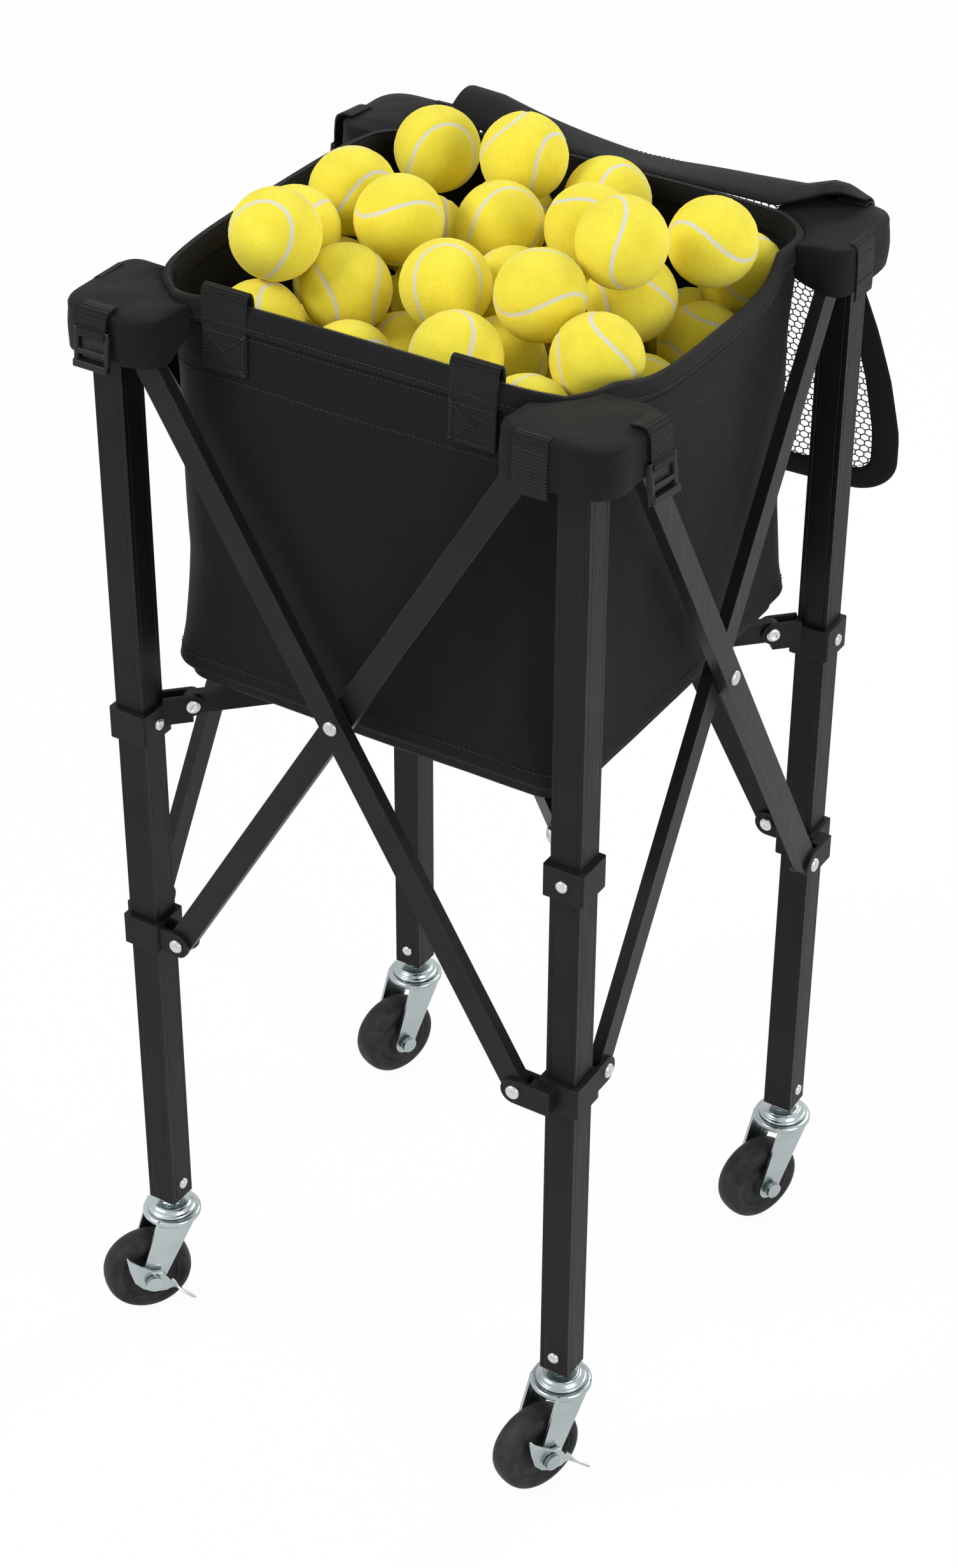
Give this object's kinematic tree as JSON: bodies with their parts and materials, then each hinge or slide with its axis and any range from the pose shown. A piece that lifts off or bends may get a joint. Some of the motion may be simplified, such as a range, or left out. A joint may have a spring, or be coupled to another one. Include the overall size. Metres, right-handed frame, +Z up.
{
  "type": "folding ball cart",
  "caption": "Folding ball cart: a cloth ball bag hung by corner pockets in a four-leg scissor frame on swivel casters, with a mesh lid and a load of felt balls.",
  "frame": {"origin": "on the floor at the centre of the four legs", "axes": "+Z up, +X to the right, front face towards -Y"},
  "size_m": [0.4716, 0.5326, 1.0316],
  "materials": {
    "frame_tube": "satin",
    "arm_bar": "satin",
    "bracket": "satin",
    "zinc": "satin",
    "tyre": "matte",
    "bag_cloth": "matte",
    "binding": "matte",
    "webbing": "matte",
    "buckle": "satin",
    "net": "matte",
    "ball_felt": "matte"
  },
  "bodies": {
    "leg_fl": {"leg_fl": "frame_tube", "top_bracket_fl": "bracket", "upper_collar_fl": "bracket", "leg_bolts_fl": "zinc", "caster_stem_fl": "zinc"},
    "slider_fl": {"slider_fl": "bracket"},
    "strut_fl": {"strut_fl": "arm_bar"},
    "caster_fl": {"caster_fork_fl": "zinc", "caster_axle_fl": "zinc"},
    "wheel_fl": {"caster_wheel_fl": "tyre"},
    "leg_fr": {"leg_fr": "frame_tube", "top_bracket_fr": "bracket", "upper_collar_fr": "bracket", "leg_bolts_fr": "zinc", "caster_stem_fr": "zinc"},
    "slider_fr": {"slider_fr": "bracket"},
    "strut_fr": {"strut_fr": "arm_bar"},
    "caster_fr": {"caster_fork_fr": "zinc", "caster_axle_fr": "zinc"},
    "wheel_fr": {"caster_wheel_fr": "tyre"},
    "leg_br": {"leg_br": "frame_tube", "top_bracket_br": "bracket", "upper_collar_br": "bracket", "leg_bolts_br": "zinc", "caster_stem_br": "zinc"},
    "slider_br": {"slider_br": "bracket"},
    "strut_br": {"strut_br": "arm_bar"},
    "caster_br": {"caster_fork_br": "zinc", "caster_axle_br": "zinc"},
    "wheel_br": {"caster_wheel_br": "tyre"},
    "leg_bl": {"leg_bl": "frame_tube", "top_bracket_bl": "bracket", "upper_collar_bl": "bracket", "leg_bolts_bl": "zinc", "caster_stem_bl": "zinc"},
    "slider_bl": {"slider_bl": "bracket"},
    "strut_bl": {"strut_bl": "arm_bar"},
    "caster_bl": {"caster_fork_bl": "zinc", "caster_axle_bl": "zinc"},
    "wheel_bl": {"caster_wheel_bl": "tyre"},
    "outer_arm_front": {"outer_arm_front": "arm_bar"},
    "inner_arm_front": {"inner_arm_front": "arm_bar"},
    "outer_arm_right": {"outer_arm_right": "arm_bar"},
    "inner_arm_right": {"inner_arm_right": "arm_bar"},
    "outer_arm_back": {"outer_arm_back": "arm_bar"},
    "inner_arm_back": {"inner_arm_back": "arm_bar"},
    "outer_arm_left": {"outer_arm_left": "arm_bar"},
    "inner_arm_left": {"inner_arm_left": "arm_bar"},
    "brake_fl": {"brake_lever_fl": "zinc"},
    "brake_fr": {"brake_lever_fr": "zinc"},
    "bag": {"bag_body": "bag_cloth", "bag_rim": "binding", "corner_pockets": "bag_cloth", "buckles": "buckle", "corner_straps": "webbing", "handle_straps": "webbing", "balls": "ball_felt"},
    "lid": {"lid_binding": "binding", "lid_net": "net"}
  },
  "joints": [
    {"name": "frame_fold", "type": "hinge", "parent": "leg_fl", "child": "outer_arm_front", "pos_m": [-0.16, -0.2055, 0.94], "axis": [0, 1, 0], "range_deg": [0, 23], "deforming": ["bag_body", "bag_rim", "corner_pockets", "buckles", "corner_straps", "handle_straps", "balls", "lid_binding", "lid_net"]},
    {"name": "front_cross", "type": "hinge", "parent": "outer_arm_front", "child": "inner_arm_front", "pos_m": [0, -0.2055, 0.671], "axis": [0, 1, 0], "range_deg": [-46, 0]},
    {"name": "leg_fr_pin", "type": "hinge", "parent": "inner_arm_front", "child": "leg_fr", "pos_m": [0.16, -0.2055, 0.94], "axis": [0, 1, 0], "range_deg": [0, 23]},
    {"name": "slider_fr_pin", "type": "hinge", "parent": "outer_arm_front", "child": "slider_fr", "pos_m": [0.16, -0.2055, 0.402], "axis": [0, 1, 0], "range_deg": [-23, 0]},
    {"name": "slider_fl_pin", "type": "hinge", "parent": "inner_arm_front", "child": "slider_fl", "pos_m": [-0.16, -0.2055, 0.402], "axis": [0, 1, 0], "range_deg": [0, 23]},
    {"name": "right_outer_pin", "type": "hinge", "parent": "leg_fr", "child": "outer_arm_right", "pos_m": [0.2055, -0.16, 0.94], "axis": [-1, 0, 0], "range_deg": [0, 23]},
    {"name": "right_cross", "type": "hinge", "parent": "outer_arm_right", "child": "inner_arm_right", "pos_m": [0.2055, 0, 0.671], "axis": [-1, 0, 0], "range_deg": [-46, 0]},
    {"name": "leg_br_pin", "type": "hinge", "parent": "inner_arm_right", "child": "leg_br", "pos_m": [0.2055, 0.16, 0.94], "axis": [-1, 0, 0], "range_deg": [0, 23]},
    {"name": "slider_br_pin", "type": "hinge", "parent": "outer_arm_right", "child": "slider_br", "pos_m": [0.2055, 0.16, 0.402], "axis": [-1, 0, 0], "range_deg": [-23, 0]},
    {"name": "left_inner_pin", "type": "hinge", "parent": "leg_fl", "child": "inner_arm_left", "pos_m": [-0.2055, -0.16, 0.94], "axis": [1, 0, 0], "range_deg": [-23, 0]},
    {"name": "left_cross", "type": "hinge", "parent": "inner_arm_left", "child": "outer_arm_left", "pos_m": [-0.2055, 0, 0.671], "axis": [1, 0, 0], "range_deg": [0, 46]},
    {"name": "leg_bl_pin", "type": "hinge", "parent": "outer_arm_left", "child": "leg_bl", "pos_m": [-0.2055, 0.16, 0.94], "axis": [1, 0, 0], "range_deg": [-23, 0]},
    {"name": "slider_bl_pin", "type": "hinge", "parent": "inner_arm_left", "child": "slider_bl", "pos_m": [-0.2055, 0.16, 0.402], "axis": [1, 0, 0], "range_deg": [0, 23]},
    {"name": "back_outer_pin", "type": "hinge", "parent": "leg_br", "child": "outer_arm_back", "pos_m": [0.16, 0.2055, 0.94], "axis": [0, -1, 0], "range_deg": [0, 23]},
    {"name": "back_inner_pin", "type": "hinge", "parent": "leg_bl", "child": "inner_arm_back", "pos_m": [-0.16, 0.2055, 0.94], "axis": [0, -1, 0], "range_deg": [-23, 0]},
    {"name": "strut_fl_pin", "type": "hinge", "parent": "leg_fl", "child": "strut_fl", "pos_m": [-0.16472, -0.16472, 0.609], "axis": [0.7071, -0.7071, 0], "range_deg": [0, 83.95]},
    {"name": "strut_fr_pin", "type": "hinge", "parent": "leg_fr", "child": "strut_fr", "pos_m": [0.16472, -0.16472, 0.609], "axis": [0.7071, 0.7071, 0], "range_deg": [0, 83.95]},
    {"name": "strut_br_pin", "type": "hinge", "parent": "leg_br", "child": "strut_br", "pos_m": [0.16472, 0.16472, 0.609], "axis": [-0.7071, 0.7071, 0], "range_deg": [0, 83.95]},
    {"name": "strut_bl_pin", "type": "hinge", "parent": "leg_bl", "child": "strut_bl", "pos_m": [-0.16472, 0.16472, 0.609], "axis": [-0.7071, -0.7071, 0], "range_deg": [0, 83.95]},
    {"name": "bag_lift", "type": "slide", "parent": "leg_fl", "child": "bag", "axis": [-0.297, -0.297, 0.9075], "range_m": [0, 0.3972]},
    {"name": "lid_hinge", "type": "hinge", "parent": "bag", "child": "lid", "pos_m": [0, 0.1783, 0.9608], "axis": [1, 0, 0], "range_deg": [0, 110]},
    {"name": "swivel_fl", "type": "hinge", "parent": "leg_fl", "child": "caster_fl", "pos_m": [-0.193, -0.193, 0.1], "axis": [0, 0, 1], "continuous": true},
    {"name": "wheel_spin_fl", "type": "hinge", "parent": "caster_fl", "child": "wheel_fl", "pos_m": [-0.20873, -0.21243, 0.038], "axis": [0.7771, -0.6293, 0], "continuous": true},
    {"name": "brake_press_fl", "type": "hinge", "parent": "caster_fl", "child": "brake_fl", "pos_m": [-0.20873, -0.21243, 0.038], "axis": [0.7771, -0.6293, 0], "range_deg": [-20, 0]},
    {"name": "swivel_fr", "type": "hinge", "parent": "leg_fr", "child": "caster_fr", "pos_m": [0.193, -0.193, 0.1], "axis": [0, 0, 1], "continuous": true},
    {"name": "wheel_spin_fr", "type": "hinge", "parent": "caster_fr", "child": "wheel_fr", "pos_m": [0.18363, -0.21618, 0.038], "axis": [0.9272, -0.3746, 0], "continuous": true},
    {"name": "brake_press_fr", "type": "hinge", "parent": "caster_fr", "child": "brake_fr", "pos_m": [0.18363, -0.21618, 0.038], "axis": [0.9272, -0.3746, 0], "range_deg": [-20, 0]},
    {"name": "swivel_br", "type": "hinge", "parent": "leg_br", "child": "caster_br", "pos_m": [0.193, 0.193, 0.1], "axis": [0, 0, 1], "continuous": true},
    {"name": "wheel_spin_br", "type": "hinge", "parent": "caster_br", "child": "wheel_br", "pos_m": [0.18323, 0.16999, 0.038], "axis": [0.9205, -0.3907, 0], "continuous": true},
    {"name": "swivel_bl", "type": "hinge", "parent": "leg_bl", "child": "caster_bl", "pos_m": [-0.193, 0.193, 0.1], "axis": [0, 0, 1], "continuous": true},
    {"name": "wheel_spin_bl", "type": "hinge", "parent": "caster_bl", "child": "wheel_bl", "pos_m": [-0.20196, 0.16966, 0.038], "axis": [0.9336, -0.3584, 0], "continuous": true}
  ],
  "couplings": [
    {"joint": "front_cross", "follows": "frame_fold", "ratio": -2},
    {"joint": "leg_fr_pin", "follows": "frame_fold", "ratio": 1},
    {"joint": "slider_fr_pin", "follows": "frame_fold", "ratio": -1},
    {"joint": "slider_fl_pin", "follows": "frame_fold", "ratio": 1},
    {"joint": "right_outer_pin", "follows": "frame_fold", "ratio": 1},
    {"joint": "right_cross", "follows": "frame_fold", "ratio": -2},
    {"joint": "leg_br_pin", "follows": "frame_fold", "ratio": 1},
    {"joint": "slider_br_pin", "follows": "frame_fold", "ratio": -1},
    {"joint": "left_inner_pin", "follows": "frame_fold", "ratio": -1},
    {"joint": "left_cross", "follows": "frame_fold", "ratio": 2},
    {"joint": "leg_bl_pin", "follows": "frame_fold", "ratio": -1},
    {"joint": "slider_bl_pin", "follows": "frame_fold", "ratio": 1},
    {"joint": "back_outer_pin", "follows": "frame_fold", "ratio": 1},
    {"joint": "back_inner_pin", "follows": "frame_fold", "ratio": -1},
    {"joint": "strut_fl_pin", "follows": "frame_fold", "ratio": 3.65},
    {"joint": "strut_fr_pin", "follows": "frame_fold", "ratio": 3.65},
    {"joint": "strut_br_pin", "follows": "frame_fold", "ratio": 3.65},
    {"joint": "strut_bl_pin", "follows": "frame_fold", "ratio": 3.65},
    {"joint": "bag_lift", "follows": "frame_fold", "m_per_rad": 0.98821}
  ]
}
